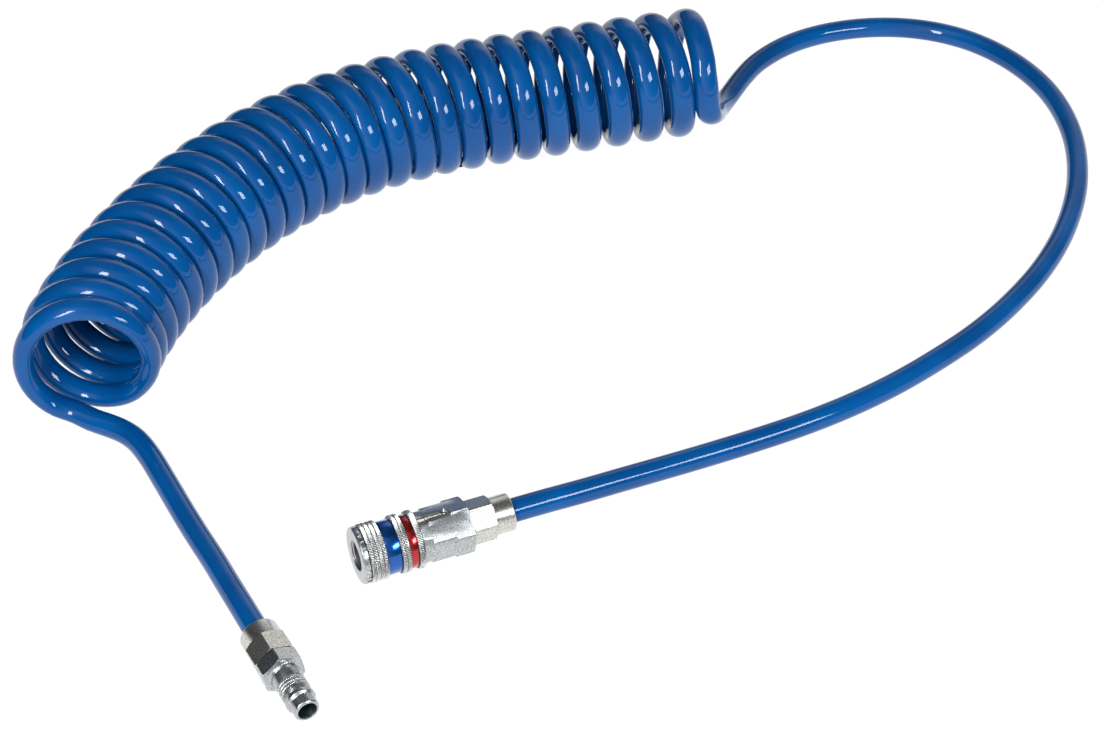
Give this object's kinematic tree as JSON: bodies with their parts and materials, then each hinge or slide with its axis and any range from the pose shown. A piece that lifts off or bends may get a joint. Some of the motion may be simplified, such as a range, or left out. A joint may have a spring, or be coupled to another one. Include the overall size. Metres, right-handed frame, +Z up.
{
  "type": "coiled air hose",
  "caption": "Coiled polyurethane air hose with a sliding-sleeve quick coupler on its long tail and a plug nipple on its short lead.",
  "frame": {"origin": "on the surface the hose lies on, below the middle of the box around its two metal fittings", "axes": "+Z up, +X along the coupler from its mouth towards its hose nut"},
  "size_m": [0.6317, 0.4116, 0.0727],
  "materials": {
    "plated_steel": "bright nickel plate over machined steel, slightly uneven",
    "turned_steel": "fine turned, satin",
    "spring_steel": "drawn wire",
    "ball_steel": "polished",
    "blue_anodised": "bright dip anodised blue",
    "red_anodised": "bright dip anodised red",
    "seal_rubber": "smooth nitrile",
    "blue_hose": "glossy blue polyurethane"
  },
  "bodies": {
    "hose_and_fittings": {"nose_ring": "plated_steel", "socket_tube": "turned_steel", "plug_seal": "seal_rubber", "sleeve_spring": "spring_steel", "valve_spring": "spring_steel", "valve_housing": "turned_steel", "coupler_body": "plated_steel", "sealing_washer": "seal_rubber", "hose_adapter": "turned_steel", "coupler_nut": "plated_steel", "nipple_body": "plated_steel", "nipple_nut": "plated_steel", "hose_tail": "blue_hose", "hose_coil": "blue_hose", "hose_lead": "blue_hose"},
    "sleeve": {"release_sleeve": "plated_steel", "blue_band": "blue_anodised", "red_band": "red_anodised"},
    "valve": {"valve_poppet": "turned_steel", "valve_seal": "seal_rubber"},
    "ball_1": {"locking_ball_1": "ball_steel"},
    "ball_2": {"locking_ball_2": "ball_steel"},
    "ball_3": {"locking_ball_3": "ball_steel"},
    "ball_4": {"locking_ball_4": "ball_steel"},
    "ball_5": {"locking_ball_5": "ball_steel"},
    "ball_6": {"locking_ball_6": "ball_steel"}
  },
  "joints": [
    {"name": "sleeve_slide", "type": "slide", "parent": "hose_and_fittings", "child": "sleeve", "axis": [1, 0, 0], "range_m": [0, 0.003], "stiffness_N_per_m": 1500, "springref_m": -0.003, "deforming": ["sleeve_spring"]},
    {"name": "valve_slide", "type": "slide", "parent": "hose_and_fittings", "child": "valve", "axis": [1, 0, 0], "range_m": [0, 0.004], "stiffness_N_per_m": 500, "springref_m": -0.004, "deforming": ["valve_spring"]},
    {"name": "ball_1_slide", "type": "slide", "parent": "hose_and_fittings", "child": "ball_1", "axis": [0, -0.5, 0.866], "range_m": [0, 0.0011]},
    {"name": "ball_2_slide", "type": "slide", "parent": "hose_and_fittings", "child": "ball_2", "axis": [0, -1, 0], "range_m": [0, 0.0011]},
    {"name": "ball_3_slide", "type": "slide", "parent": "hose_and_fittings", "child": "ball_3", "axis": [0, -0.5, -0.866], "range_m": [0, 0.0011]},
    {"name": "ball_4_slide", "type": "slide", "parent": "hose_and_fittings", "child": "ball_4", "axis": [0, 0.5, -0.866], "range_m": [0, 0.0011]},
    {"name": "ball_5_slide", "type": "slide", "parent": "hose_and_fittings", "child": "ball_5", "axis": [0, 1, 0], "range_m": [0, 0.0011]},
    {"name": "ball_6_slide", "type": "slide", "parent": "hose_and_fittings", "child": "ball_6", "axis": [0, 0.5, 0.866], "range_m": [0, 0.0011]}
  ],
  "couplings": [
    {"joint": "ball_1_slide", "follows": "sleeve_slide", "ratio": 0.36},
    {"joint": "ball_2_slide", "follows": "sleeve_slide", "ratio": 0.36},
    {"joint": "ball_3_slide", "follows": "sleeve_slide", "ratio": 0.36},
    {"joint": "ball_4_slide", "follows": "sleeve_slide", "ratio": 0.36},
    {"joint": "ball_5_slide", "follows": "sleeve_slide", "ratio": 0.36},
    {"joint": "ball_6_slide", "follows": "sleeve_slide", "ratio": 0.36}
  ]
}
